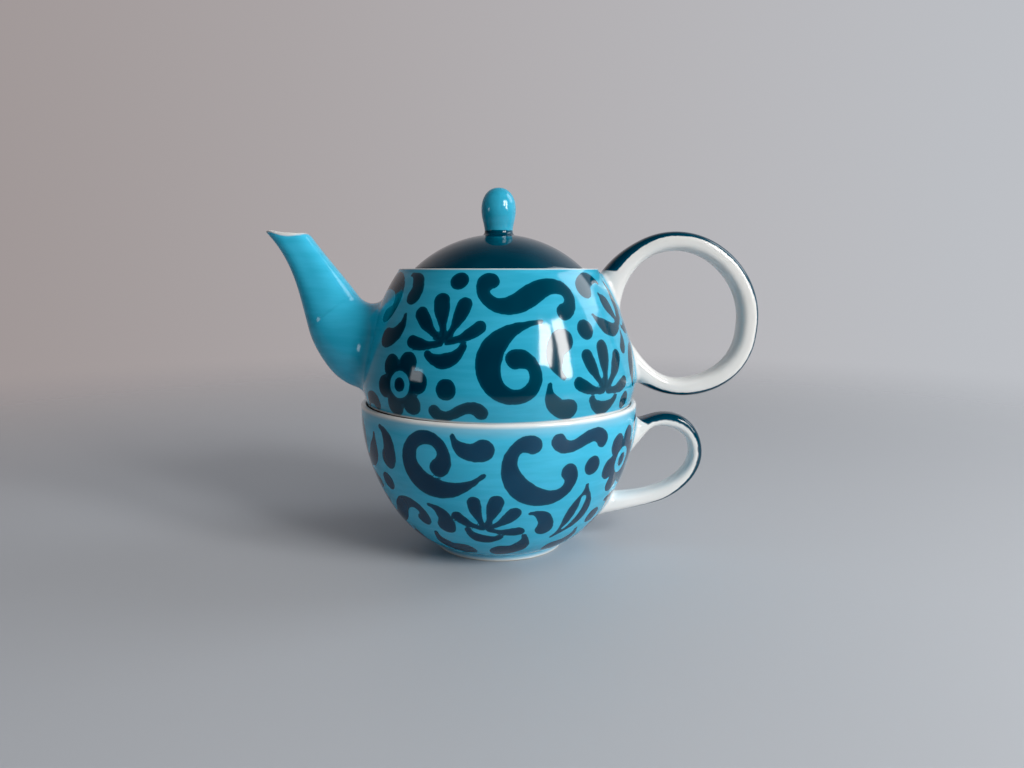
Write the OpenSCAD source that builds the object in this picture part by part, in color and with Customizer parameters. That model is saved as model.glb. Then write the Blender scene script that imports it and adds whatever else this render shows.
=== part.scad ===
// A tea set for one person, in glazed ceramic: a wide cup with an ear handle, a small
// teapot with a ring handle that rests in the cup's mouth, and the teapot's lid with
// an egg shaped knob.
// The origin is the centre of the cup's foot on the table. Z is up, the spout points
// to -X and both handles point to +X.

/* [Cup] */
// outside radius of the cup at its lip
cup_r = 56.8; // [50:0.1:64]
// height of the cup from the table to the top of its lip
cup_h = 61.3; // [55:0.1:70]
// thickness of the cup's wall
cup_wall = 4; // [3.4:0.1:5]
// radius of the rounding of the cup's lip
lip_round = 1.2; // [0.8:0.05:1.5]
// outside radius of the foot ring
foot_r = 26.4; // [20:0.1:32]
// width of the foot ring
foot_w = 4; // [3:0.1:6]
// height of the foot ring
foot_h = 2.8; // [2:0.1:4]
// depth of the hollow inside the foot ring
foot_hollow = 2.2; // [1:0.1:3]
// bevel round the bottom of the foot ring
foot_bevel = 0.5; // [0.2:0.05:1]
// how far the bowl stands out past the foot ring where the two meet
crease_out = 1.1; // [0.5:0.1:3]
// slope of the bowl where it leaves the foot ring, in degrees
bowl_slope = 20; // [10:1:35]
// fullness of the bowl above the foot ring
bowl_full_low = 17.6; // [12:0.1:24]
// fullness of the bowl below the lip
bowl_full_top = 22; // [16:0.1:30]

/* [Cup handle] */
// how far the middle of the ear stands out past the cup's wall
ear_out = 25.8; // [20:0.1:32]
// height of the middle of the ear's outermost place
ear_side_h = 38.5; // [32:0.1:44]
// height of the middle of the ear's top
ear_top_h = 52.8; // [48:0.1:55]
// how far the ear's top stands out past the cup's wall
ear_top_out = 11.7; // [8:0.1:15]
// height of the middle of the ear's lower bend
ear_low_h = 20.5; // [17:0.1:25]
// how far the ear's lower bend stands out past the cup's wall
ear_low_out = 9.2; // [6:0.1:13]
// height of the middle of the ear's lower root
ear_root_low_h = 15.6; // [12:0.1:17]
// height of the middle of the ear's upper root
ear_root_top_h = 46.2; // [43:0.1:48]
// thickness of the ear, seen from the front
ear_thick = 5; // [4:0.1:8]
// thickness of the ear at its lower bend
ear_thick_low = 6.2; // [5:0.1:9]
// width of the ear across
ear_wide = 10; // [7:0.1:14]
// growth of the ear's thickness at its upper root
ear_flare_top = 12; // [8:0.1:22]
// growth of the ear's thickness at its lower root
ear_flare_low = 8.8; // [4:0.1:12]
// growth of the ear's width at both roots
ear_flare_wide = 5; // [1:0.1:8]

/* [Teapot body] */
// largest outside radius of the teapot
belly_r = 56.2; // [52:0.1:60]
// height of the largest radius above the seat in the cup
belly_h = 10.9; // [7:0.1:15]
// height of the teapot's rim above the seat in the cup
pot_h = 55; // [50:0.1:62]
// outside radius of the teapot's rim
rim_r = 40; // [38:0.1:44]
// rounding of the rim's outer edge
rim_round = 0.7; // [0.4:0.05:1]
// slope of the shoulder where it reaches the rim, in degrees
shoulder_slope = 53; // [42:1:62]
// fullness of the shoulder below the rim
shoulder_full = 14.3; // [10:0.1:18]
// fullness of the body above its largest radius
body_full = 11.2; // [8:0.1:16]
// thickness of the teapot's wall
pot_wall = 4; // [3.2:0.1:5]
// thickness of the teapot's floor
pot_floor = 4.2; // [3.2:0.1:6]
// gap all round between the teapot's lower edge and the cup's lip
seat_gap = 0.3; // [0.15:0.05:0.6]
// depth of the locating ring that reaches into the cup's mouth
nest_h = 3.5; // [2:0.1:5]
// width of the locating ring
nest_w = 4; // [3:0.1:6]
// gap all round between the locating ring and the inside of the cup
nest_gap = 1.2; // [0.8:0.1:2]

/* [Spout] */
// how far the pouring tip stands out past the body's largest radius
spout_reach = 38; // [32:0.1:44]
// height of the pouring tip above the seat in the cup
spout_h = 69.6; // [64:0.1:74]
// length of the mouth from its tip to its back edge
spout_mouth_l = 17.4; // [14:0.1:20]
// drop from the tip to the back edge of the mouth
spout_mouth_drop = 1; // [0:0.1:3]
// width of the mouth across
spout_mouth_w = 12.6; // [10:0.1:15]
// how far the spout's lower line stands out at its middle
spout_mid_out = 22.4; // [19:0.1:26]
// height of the middle of the spout's lower line above the seat
spout_mid_h = 30; // [26:0.1:34]
// width of the spout across at its middle
spout_mid_w = 22; // [18:0.1:25]
// height of the bend where the spout leaves the shoulder, above the seat
spout_bend_h = 44.6; // [42:0.1:47]
// how far that bend stands out past the body's largest radius
spout_bend_out = 2.1; // [1:0.1:4]
// lowest place of the spout's root above the seat
spout_root_low = 4.2; // [3.6:0.1:7]
// highest place of the spout's root above the seat
spout_root_top = 40.5; // [38:0.1:42]
// width of the spout across at its root
spout_root_w = 33; // [28:0.1:38]
// wall of the spout at its root
spout_wall = 3.2; // [2.6:0.1:4]
// wall of the spout at its mouth
spout_edge = 1.8; // [1.4:0.1:2.4]

/* [Strainer] */
// diameter of one strainer hole in the wall behind the spout
strainer_d = 3.2; // [2:0.1:3.2]
// distance between the rows of strainer holes
strainer_pitch = 6.4; // [5.4:0.1:7]
// number of rows of strainer holes
strainer_rows = 4; // [3:1:4]
// height of the lowest row above the seat
strainer_h = 12.4; // [11:0.1:14]

/* [Teapot handle] */
// outside radius of the ring handle
ring_r = 33.8; // [30:0.1:36]
// thickness of the ring, seen from the front
ring_thick = 8; // [6:0.1:10]
// width of the ring across
ring_wide = 12; // [9:0.1:15]
// how far the ring's centre stands out past the body's largest radius
ring_out = 17.4; // [14:0.1:20]
// height of the ring's centre above the seat
ring_h = 36.7; // [35:0.1:40]
// flattening of the ring on the side away from the body
ring_flat = 2.2; // [0:0.1:4]
// growth of the ring inward at its upper root
ring_flare_top = 1.6; // [0.5:0.1:3]
// growth of the ring outward at its upper root
ring_spread_top = 2.6; // [0:0.1:4]
// growth of the ring inward at its lower root
ring_flare_low = 3.4; // [1:0.1:5]
// how far the ring's outside tucks in at its lower root
ring_tuck_low = 1.4; // [0:0.1:3]
// growth of the ring's width at both roots
ring_flare_wide = 4; // [1:0.1:7]

/* [Lid] */
// radius of the lid's edge
lid_r = 34.3; // [32:0.1:36]
// gap all round between the lid and the teapot
lid_gap = 0.35; // [0.2:0.05:0.6]
// thickness of the lid's edge, and depth of the ledge that it rests on
lid_edge = 2.5; // [2:0.1:3.5]
// thickness of the ledge inside the teapot's mouth
ledge_thick = 3; // [2.4:0.1:4]
// radius of the teapot's opening
opening_r = 30; // [27:0.1:31]
// height of the dome above the teapot's rim
dome_h = 13.8; // [10:0.1:17]
// thickness of the dome
dome_wall = 3.6; // [3:0.1:4.5]
// depth of the lid's skirt below the ledge
skirt_h = 7; // [4:0.1:10]
// thickness of the lid's skirt
skirt_w = 3; // [2.4:0.1:4]
// diameter of the steam vent
vent_d = 2.6; // [1.8:0.1:3]
// distance of the steam vent from the middle, toward the spout
vent_out = 18.4; // [14:0.1:21]

/* [Knob] */
// radius of the knob at its fullest
knob_r = 7; // [6:0.1:9]
// radius of the knob's neck
neck_r = 5.7; // [4.5:0.1:5.9]
// height of the neck's narrowest place above the dome
neck_h = 1.1; // [0.6:0.1:2.4]
// height of the knob's fullest place above the dome
knob_mid_h = 9.7; // [8:0.1:12]
// height of the knob's top above the dome
knob_h = 18.5; // [16:0.1:22]
// radius at which the neck spreads into the dome
neck_spread = 7.4; // [6.9:0.1:9]

/* [Hidden] */
$fn = 96;
seat_z = cup_h - lip_round;
seat_r = cup_r - 2 * lip_round;
cup_in_r = cup_r - cup_wall;
shoulder_r = seat_r - seat_gap;
nest_r = cup_in_r - nest_gap;
rim_z = seat_z + pot_h;
ledge_z = rim_z - lid_edge;
dome_top = rim_z + dome_h;
dome_sphere = (lid_r * lid_r + dome_h * dome_h) / (2 * dome_h);
skirt_r = opening_r - lid_gap;
curve_steps = 20;
section_steps = 24;

// a point of a cubic curve
function bez(p, t) =
    pow(1 - t, 3) * p[0] + 3 * pow(1 - t, 2) * t * p[1]
    + 3 * (1 - t) * t * t * p[2] + pow(t, 3) * p[3];

// the direction of a cubic curve at a point
function bez_dir(p, t) =
    let (d = 3 * pow(1 - t, 2) * (p[1] - p[0]) + 6 * (1 - t) * t * (p[2] - p[1])
    + 3 * t * t * (p[3] - p[2])) d / norm(d);

// the points of a cubic curve, moved sideways by a distance
function curve(p, side = 0, n = curve_steps, from = 0, to = 1) =
    [for (i = [0:n]) let (t = from + (to - from) * i / n, d = bez_dir(p, t))
        bez(p, t) + side * [-d[1], d[0]]];

// points on an arc
function arc(c, r, a0, a1, n) =
    [for (i = [0:n]) let (a = a0 + (a1 - a0) * i / n) c + r * [cos(a), sin(a)]];

// a value that grows smoothly from 0 to 1 between two places
function grow(x, a, b) =
    let (t = max(0, min(1, (x - a) / (b - a)))) t * t * (3 - 2 * t);

// one rounded section between two points of the front view, with a width across
function section(a, b, w, m = section_steps) =
    let (c = (a + b) / 2, h = (a - b) / 2)
    [for (k = [0:m - 1]) let (q = 360 * k / m)
        [c[0] + h[0] * cos(q), w / 2 * sin(q), c[1] + h[1] * cos(q)]];

// a closed skin over a row of sections
module skin(rings) {
    n = len(rings);
    m = len(rings[0]);
    pts = [for (r = rings) each r];
    sides = [for (i = [0:n - 2], k = [0:m - 1])
        let (a = i * m + k, b = i * m + (k + 1) % m) each [[a, b, b + m], [a, b + m, a + m]]];
    first = [for (k = [1:m - 2]) [0, k + 1, k]];
    last = [for (k = [1:m - 2]) let (o = (n - 1) * m) [o, o + k, o + k + 1]];
    polyhedron(points = pts, faces = concat(sides, first, last), convexity = 8);
}

// the bowl's outside, from its foot to below the lip
bowl = [
    [foot_r + crease_out, foot_h],
    [foot_r + crease_out, foot_h] + bowl_full_low * [cos(bowl_slope), sin(bowl_slope)],
    [cup_r, cup_h - 3 * lip_round - bowl_full_top],
    [cup_r, cup_h - 3 * lip_round]
];

// the middle line of the ear, in four pieces from the upper to the lower root
ear_x = cup_r;
ear_a = [
    [ear_x - 6.4, ear_root_top_h],
    [ear_x + 0.6, ear_root_top_h + 1.1],
    [ear_x + ear_top_out - 6.2, ear_top_h],
    [ear_x + ear_top_out, ear_top_h]
];
ear_b = [
    [ear_x + ear_top_out, ear_top_h],
    [ear_x + ear_top_out + 8, ear_top_h],
    [ear_x + ear_out, ear_side_h + 8],
    [ear_x + ear_out, ear_side_h]
];
ear_c = [
    [ear_x + ear_out, ear_side_h],
    [ear_x + ear_out, ear_side_h - 8.6],
    [ear_x + ear_low_out + 8, ear_low_h + 2.6],
    [ear_x + ear_low_out, ear_low_h]
];
ear_d = [
    [ear_x + ear_low_out, ear_low_h],
    [ear_x + ear_low_out - 9.6, ear_low_h - 3],
    [ear_x - 13, ear_root_low_h + 1],
    [ear_x - 24, ear_root_low_h + 0.6]
];

// one section of the ear at a place between 0 and 4 along its middle line
function ear_section(u) =
    let (i = min(3, floor(u)), p = [ear_a, ear_b, ear_c, ear_d][i], t = u - i,
        d = bez_dir(p, t), side = [-d[1], d[0]],
        h = ear_thick / 2 + (ear_thick_low - ear_thick) / 2 * grow(u, 2.2, 3)
        + ear_flare_top / 2 * pow(max(0, 1 - u), 2.9)
        + ear_flare_low / 2 * pow(max(0, u - 3), 3),
        w = ear_wide + ear_flare_wide * (1 - grow(u, 0.1, 1) + grow(u, 3, 3.9)))
    section(bez(p, t) + h * side, bez(p, t) - h * side, w);

module ear() {
    skin([for (i = [0:40]) ear_section(i / 10)]);
}

module cup_solid() {
    rotate_extrude() polygon(concat(
        [[0, foot_hollow], [foot_r - foot_w, foot_hollow], [foot_r - foot_w, foot_bevel]],
        [[foot_r - foot_w + foot_bevel, 0], [foot_r - foot_bevel, 0], [foot_r, foot_bevel]],
        [[foot_r, foot_h - 0.5]],
        curve(bowl),
        arc([cup_r - lip_round, seat_z], lip_round, 0, 180, 8),
        [[0, seat_z]]
    ));
}

module cup_hollow() {
    inside = curve(bowl, cup_wall);
    rotate_extrude() polygon(concat(
        [[0, inside[0][1]]],
        inside,
        [[cup_in_r, cup_h + 1], [0, cup_h + 1]]
    ));
}

module cup() {
    color([0.16, 0.62, 0.72]) difference() {
        cup_solid();
        cup_hollow();
    }
}

module cup_handle() {
    color([0.86, 0.86, 0.85]) difference() {
        ear();
        cup_solid();
    }
}

// the body's outside, below and above its largest radius
body_low = [
    [shoulder_r, seat_z],
    [shoulder_r + 0.8, seat_z + belly_h * 0.32],
    [belly_r, seat_z + belly_h * 0.6],
    [belly_r, seat_z + belly_h]
];
body_top = [
    [belly_r, seat_z + belly_h],
    [belly_r, seat_z + belly_h + body_full],
    [rim_r, rim_z] + shoulder_full * [cos(shoulder_slope), -sin(shoulder_slope)],
    [rim_r, rim_z]
];

// the inside corner between the wall and the floor
floor_z = seat_z + pot_floor;
floor_bend = [
    [belly_r - pot_wall - 8, floor_z],
    [belly_r - pot_wall - 3, floor_z],
    [belly_r - pot_wall, floor_z + 2.6],
    [belly_r - pot_wall, seat_z + belly_h]
];

module pot_solid() {
    rotate_extrude() polygon(concat(
        [[0, seat_z], [nest_r - nest_w, seat_z], [nest_r - nest_w, seat_z - nest_h + 0.6]],
        [[nest_r - nest_w + 0.6, seat_z - nest_h], [nest_r - 0.6, seat_z - nest_h]],
        [[nest_r, seat_z - nest_h + 0.6], [nest_r, seat_z]],
        curve(body_low, n = 8),
        curve(body_top, n = 22, from = 1 / 22, to = 0.97),
        arc([bez(body_top, 0.97)[0] - 1.2 * rim_round, rim_z - rim_round], rim_round, 20, 90, 4),
        [[0, rim_z]]
    ));
}

module pot_hollow() {
    rotate_extrude() polygon(concat(
        [[0, floor_z]],
        curve(floor_bend, n = 8),
        curve(body_top, pot_wall, n = 18, from = 1 / 20, to = 0.86),
        [[opening_r, ledge_z - ledge_thick], [opening_r, ledge_z]],
        [[lid_r + lid_gap, ledge_z], [lid_r + lid_gap, rim_z + 1], [0, rim_z + 1]]
    ));
}

// the spout's lower and upper lines in the front view, each in two pieces
spout_x = -belly_r;
low_a = [
    [spout_x + 6.2, seat_z + spout_root_low],
    [spout_x - 10.2, seat_z + spout_root_low + 1.6],
    [spout_x - spout_mid_out + 2.6, seat_z + spout_mid_h - 15.6],
    [spout_x - spout_mid_out, seat_z + spout_mid_h]
];
low_b = [
    [spout_x - spout_mid_out, seat_z + spout_mid_h],
    [spout_x - spout_mid_out - 2.6, seat_z + spout_mid_h + 15.6],
    [spout_x - spout_reach + 8.6, seat_z + spout_h - 13.6],
    [spout_x - spout_reach, seat_z + spout_h]
];
top_a = [
    [spout_x + 12.2, seat_z + spout_root_top],
    [spout_x + 5.4, seat_z + spout_root_top + 0.4],
    [spout_x + 1.4, seat_z + spout_bend_h - 5],
    [spout_x - spout_bend_out, seat_z + spout_bend_h]
];
top_b = [
    [spout_x - spout_bend_out, seat_z + spout_bend_h],
    [spout_x - spout_bend_out - 5.2, seat_z + spout_bend_h + 7.2],
    [spout_x - spout_reach + spout_mouth_l + 5, seat_z + spout_h - spout_mouth_drop - 7.6],
    [spout_x - spout_reach + spout_mouth_l, seat_z + spout_h - spout_mouth_drop]
];

// one section of the spout at a place between 0 and 2 along it, made smaller by a wall
function spout_section(u, wall = 0) =
    let (i = min(1, floor(u)), t = u - i, a = bez([low_a, low_b][i], t),
        b = bez([top_a, top_b][i], t), d = (b - a) / norm(b - a),
        w = i == 0
        ? spout_root_w + (spout_mid_w - spout_root_w) * grow(t, 0, 1.15)
        : spout_mouth_w + (spout_mid_w - spout_mouth_w) * pow(1 - t, 1.7))
    section(a + d * wall, b - d * wall, w - 2 * wall);

module spout_skin() {
    skin([for (i = [0:28]) spout_section(i / 14)]);
}

module spout_bore() {
    mouth = spout_section(2, spout_edge);
    above = [for (p = mouth) p + [-0.9, 0, 1.6]];
    skin(concat(
        [for (i = [1:28]) let (u = i / 14)
            spout_section(u, spout_wall + (spout_edge - spout_wall) * grow(u, 0.6, 1.9))],
        [above]
    ));
}

module strainer() {
    for (row = [0:strainer_rows - 1]) {
        count = row % 2 == 0 ? 2 : 3;
        for (k = [0:count - 1]) {
            y = (k - (count - 1) / 2) * strainer_pitch;
            translate([spout_x - 4, y, seat_z + strainer_h + row * strainer_pitch * 0.9])
                rotate([0, 90, 0])
                    cylinder(d = strainer_d, h = 18);
        }
    }
}

// one section of the ring handle at an angle from +X, seen from the front
function ring_section(a) =
    let (c = [belly_r + ring_out, seat_z + ring_h], d = [cos(a), sin(a)],
        r = ring_r - ring_flat * pow(max(0, cos(a - 45)), 2),
        outer = r + ring_spread_top * grow(a, 118, 168) - ring_tuck_low * grow(-a, 76, 134),
        inner = r - ring_thick - ring_flare_top * grow(a, 112, 172)
        - ring_flare_low * grow(-a, 84, 146),
        w = ring_wide + ring_flare_wide * (grow(a, 118, 168) + grow(-a, 92, 146)))
    section(c + outer * d, c + inner * d, w);

module ring_skin() {
    skin([for (i = [0:48]) ring_section(180 - i * 337 / 48)]);
}

// the space that holds the floor of the pot, stepped down under the wall
module base_zone() {
    step_z = seat_z + pot_floor / 2;
    rotate_extrude() polygon([
        [0, seat_z - nest_h - 1],
        [belly_r + 5, seat_z - nest_h - 1],
        [belly_r + 5, step_z],
        [floor_bend[0][0], step_z],
        [floor_bend[0][0], floor_z],
        [0, floor_z]
    ]);
}

module pot_base() {
    color([0.17, 0.65, 0.75]) intersection() {
        pot_solid();
        base_zone();
    }
}

module teapot() {
    color([0.18, 0.68, 0.78]) difference() {
        pot_solid();
        pot_hollow();
        base_zone();
        strainer();
    }
}

module spout() {
    color([0.22, 0.72, 0.82]) difference() {
        spout_skin();
        spout_bore();
        pot_solid();
    }
}

module ring_handle() {
    color([0.86, 0.86, 0.85]) difference() {
        ring_skin();
        pot_solid();
    }
}

// the knob's outline, from the dome to its top
neck_spread_line = [
    [neck_spread, dome_top - dome_sphere + sqrt(pow(dome_sphere, 2) - pow(neck_spread, 2)) - 0.05],
    [neck_r + 0.7, dome_top - 0.45],
    [neck_r, dome_top],
    [neck_r, dome_top + neck_h]
];
knob_low = [
    [neck_r, dome_top + neck_h],
    [neck_r, dome_top + neck_h + 2.4],
    [knob_r, dome_top + knob_mid_h - 3.6],
    [knob_r, dome_top + knob_mid_h]
];
knob_top = [
    [knob_r, dome_top + knob_mid_h],
    [knob_r, dome_top + knob_mid_h + 4.8],
    [4.6, dome_top + knob_h],
    [0, dome_top + knob_h]
];

// height of a dome with the lid's curvature at a radius
function dome_z(r, sink = 0) =
    dome_top - dome_sphere + sqrt(pow(dome_sphere - sink, 2) - r * r);

module lid_solid() {
    rotate_extrude() polygon(concat(
        [[0, ledge_z - skirt_h], [skirt_r - 0.6, ledge_z - skirt_h]],
        [[skirt_r, ledge_z - skirt_h + 0.6], [skirt_r, ledge_z], [lid_r, ledge_z]],
        [[lid_r, rim_z - 0.5]],
        [for (i = [0:12]) let (r = lid_r - 0.3 - i * (lid_r - 0.3 - neck_spread - 0.6) / 12)
            [r, dome_z(r)]],
        curve(neck_spread_line, n = 6),
        curve(knob_low, n = 8, from = 1 / 8),
        curve(knob_top, n = 10, from = 1 / 10)
    ));
}

module lid_hollow() {
    inner = skirt_r - skirt_w;
    rotate_extrude() polygon(concat(
        [[0, ledge_z - skirt_h - 1], [inner, ledge_z - skirt_h - 1]],
        [for (i = [0:10]) let (r = inner * (1 - i / 10)) [r, dome_z(r, dome_wall)]]
    ));
}

module lid() {
    color([0.03, 0.22, 0.27]) difference() {
        lid_solid();
        lid_hollow();
        translate([-vent_out, 0, rim_z - lid_edge])
            cylinder(d = vent_d, h = dome_h + 8);
    }
}

cup();
cup_handle();
pot_base();
teapot();
spout();
ring_handle();
lid();
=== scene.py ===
"""A glazed ceramic tea set for one: a footed cup, a teapot that rests in its mouth, and a lid."""

import math

import bpy
import numpy as np
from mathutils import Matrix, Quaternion, Vector


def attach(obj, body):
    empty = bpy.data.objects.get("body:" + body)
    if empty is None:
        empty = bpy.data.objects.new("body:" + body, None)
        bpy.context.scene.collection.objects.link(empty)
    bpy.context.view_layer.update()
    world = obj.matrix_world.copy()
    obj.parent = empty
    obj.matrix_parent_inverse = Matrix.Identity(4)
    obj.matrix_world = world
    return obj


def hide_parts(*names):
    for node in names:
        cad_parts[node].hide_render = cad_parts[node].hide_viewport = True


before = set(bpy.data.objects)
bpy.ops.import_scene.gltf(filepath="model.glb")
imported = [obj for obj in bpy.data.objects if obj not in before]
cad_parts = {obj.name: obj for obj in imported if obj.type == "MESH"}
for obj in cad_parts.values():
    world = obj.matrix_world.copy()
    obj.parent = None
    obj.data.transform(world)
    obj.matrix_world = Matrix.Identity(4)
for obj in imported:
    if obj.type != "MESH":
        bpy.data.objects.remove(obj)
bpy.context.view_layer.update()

# Sizes in millimetres, as the part's source has them
CUP_R = 56.8
CUP_H = 61.3
CUP_WALL = 4.0
LIP_ROUND = 1.2
FOOT_R = 26.4
FOOT_W = 4.0
FOOT_H = 2.8
FOOT_HOLLOW = 2.2
FOOT_BEVEL = 0.5
CREASE_OUT = 1.1
BOWL_FLARE = 17.6
BOWL_FLARE_DEG = 20
BOWL_UPRIGHT = 22.0
SEAT_Z = CUP_H - LIP_ROUND
CUP_IN_R = CUP_R - CUP_WALL

BELLY_R = 56.2
BELLY_RISE = 10.9
BELLY_Z = SEAT_Z + BELLY_RISE
BELLY_UPRIGHT = 11.2
SLOPE_TO_RIM = 14.3
SLOPE_TO_RIM_DEG = 53
RIM_Z = SEAT_Z + 55
RIM_R = 40.0
RIM_ROUND = 0.7
POT_WALL = 4.0
FLOOR_Z = SEAT_Z + 4.2
SHOULDER_R = CUP_R - 2 * LIP_ROUND - 0.3
NEST_R = CUP_IN_R - 1.2
NEST_W = 4.0
NEST_Z = SEAT_Z - 3.5
LEDGE_Z = RIM_Z - 2.5
LEDGE_THICK = 3.0
OPENING_R = 30.0
STRAINER_D = 3.2
STRAINER_PITCH = 6.4
STRAINER_ROWS = 4
STRAINER_UP = 12.4

RING_CENTRE = np.array([BELLY_R + 17.4, SEAT_Z + 36.7])
RING_R = 33.8
RING_THICK = 8.0
RING_WIDE = 12.0
EAR_THICK = 5.0
EAR_WIDE = 10.0

LID_R = 34.3
LID_GAP = 0.35
SKIRT_Z = LEDGE_Z - 7
SKIRT_R = OPENING_R - LID_GAP
SKIRT_W = 3.0
DOME_H = 13.8
DOME_TOP = RIM_Z + DOME_H
DOME_SPHERE = (LID_R**2 + DOME_H**2) / (2 * DOME_H)
DOME_WALL = 3.6
VENT_OUT = 18.4
VENT_D = 2.6
NECK_R = 5.7
KNOB_R = 7.0
KNOB_H = 18.5

# Fineness of the meshes
AROUND = 384
STEP = 0.9
CUP_INSIDE_STEP = 1.6
POT_INSIDE_STEP = 2.4
LID_INSIDE_STEP = 1.5
DOME_STEP = 0.8
KNOB_STEP = 0.45
DRILL_SIDES = 32
UV_EDGE = 0.01
SAME = 1e-4

# A distance that stands for none near
FAR = 100.0


# Curves

def bez(p, t):
    """Points of a cubic curve."""
    p, t = np.array(p, float), np.atleast_1d(t)[:, None]
    return (1 - t)**3 * p[0] + 3 * (1 - t)**2 * t * p[1] + 3 * (1 - t) * t**2 * p[2] + t**3 * p[3]


def bez_dir(p, t):
    """Directions of a cubic curve."""
    p, t = np.array(p, float), np.atleast_1d(t)[:, None]
    d = (1 - t)**2 * (p[1] - p[0]) + 2 * (1 - t) * t * (p[2] - p[1]) + t**2 * (p[3] - p[2])
    return d / np.linalg.norm(d, axis=1, keepdims=True)


def curve(p, side=0.0, end=1.0, n=90):
    """Points of a cubic curve from its start to a part of its length, moved sideways by a distance."""
    t = np.linspace(0, end, n)
    d = bez_dir(p, t)
    return bez(p, t) + side * np.stack([-d[:, 1], d[:, 0]], 1)


def arc(centre, radius, a0, a1, n):
    """Points of an arc between two angles in degrees."""
    a = np.radians(np.linspace(a0, a1, n))
    return np.array(centre) + radius * np.stack([np.cos(a), np.sin(a)], 1)


def bend(a, corner, c, t):
    """The point at t on a soft bend from a to c that leans toward a corner."""
    return (1 - t)**2 * a + 2 * (1 - t) * t * corner + t * t * c


def fade(x, a, b):
    """A value that grows smoothly from 0 to 1 between two places."""
    t = np.clip((x - a) / (b - a), 0, 1)
    return t * t * (3 - 2 * t)


def bump(x, at, width):
    """A soft hill of height 1 about a place."""
    return np.exp(-((x - at) / width)**2)


def through(x, pairs):
    """A value that runs in straight lines through (place, value) pairs."""
    at, values = np.array(pairs, float).T
    return np.interp(x, at, values)


def along(points):
    """Distance along a row of points."""
    return np.concatenate([[0], np.cumsum(np.linalg.norm(np.diff(points, axis=0), axis=1))])


def respaced(points, step=STEP):
    """The same line with its points evenly spaced."""
    s = along(points)
    want = np.linspace(0, s[-1], max(2, int(round(s[-1] / step)) + 1))
    return np.stack([np.interp(want, s, points[:, k]) for k in range(2)], 1)


def rounded(before, corner, after, size):
    """A corner between two points as a bend that starts a size away on either side."""
    to_before, to_after = before - corner, after - corner
    a = corner + to_before / np.linalg.norm(to_before) * size
    c = corner + to_after / np.linalg.norm(to_after) * size
    return [bend(a, corner, c, t) for t in np.linspace(0, 1, 6)]


def filled(start, end):
    """Points between two others, closest together near both, so that smooth shading stays in the corners."""
    gap = end - start
    n = int(np.linalg.norm(gap) // (2.5 * STEP)) + 1
    return [start + gap * (1 - math.cos(math.pi * k / n)) / 2 for k in range(1, n)]


def outline(*items):
    """A profile from corners (radius, height, rounding) and from rows of curve points."""
    corners = []
    for item in items:
        if isinstance(item, tuple):
            corners.append((np.array(item[:2], float), item[2]))
        else:
            corners += [(p, 0) for p in item]
    rows = []
    for i, (corner, rounding) in enumerate(corners):
        points = [corner]
        if rounding:
            points = rounded(corners[i - 1][0], corner, corners[i + 1][0], rounding)
        for p in points:
            if rows and np.linalg.norm(p - rows[-1]) < SAME:
                continue
            if rows:
                rows += filled(rows[-1], p)
            rows.append(p)
    return np.array(rows)


def reached(rows, s, r, z):
    """Distance along a profile of its point nearest to a place."""
    return s[np.argmin(np.hypot(rows[:, 0] - r, rows[:, 1] - z))]


# Meshes

def link(piece):
    """Puts a new object into the scene."""
    bpy.context.scene.collection.objects.link(piece)
    return piece


def set_mark(mesh, mark, values):
    """A signed distance in millimetres at every point, for the glaze to read."""
    layer = mesh.attributes.get(mark) or mesh.attributes.new(mark, "FLOAT", "POINT")
    layer.data.foreach_set("value", np.clip(values, -FAR, FAR).astype(np.float32))


def mark_of(mesh, mark):
    values = np.empty(len(mesh.vertices))
    mesh.attributes[mark].data.foreach_get("value", values)
    return values


def positions(mesh):
    """A mesh's points in millimetres."""
    p = np.empty(len(mesh.vertices) * 3)
    mesh.vertices.foreach_get("co", p)
    return p.reshape(-1, 3) * 1000


def make_piece(name, points, faces, uvs, marks):
    """A smooth mesh in metres from points in millimetres, with its faces turned outward."""
    p = points / 1000
    volume = 0.0
    for block in faces:
        for k in range(1, block.shape[1] - 1):
            a, b, c = p[block[:, 0]], p[block[:, k]], p[block[:, k + 1]]
            volume += np.einsum("ij,ij->i", a, np.cross(b, c)).sum()
    if volume < 0:
        faces, uvs = [block[:, ::-1] for block in faces], [uv[:, ::-1] for uv in uvs]
    mesh = bpy.data.meshes.new(name)
    mesh.from_pydata(p.tolist(), [], [f for block in faces for f in block.tolist()])
    layer = mesh.uv_layers.new(name="OFBake")
    layer.data.foreach_set("uv", np.concatenate([uv.reshape(-1) for uv in uvs]))
    for mark, values in marks.items():
        set_mark(mesh, mark, values)
    mesh.shade_smooth()
    return link(bpy.data.objects.new(name, mesh))


def in_uv(*corners):
    """Faces in the UV map from their corners, each given as rows of u and of v."""
    return np.stack([np.stack(np.broadcast_arrays(u, v), 1) for u, v in corners], 1)


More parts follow.
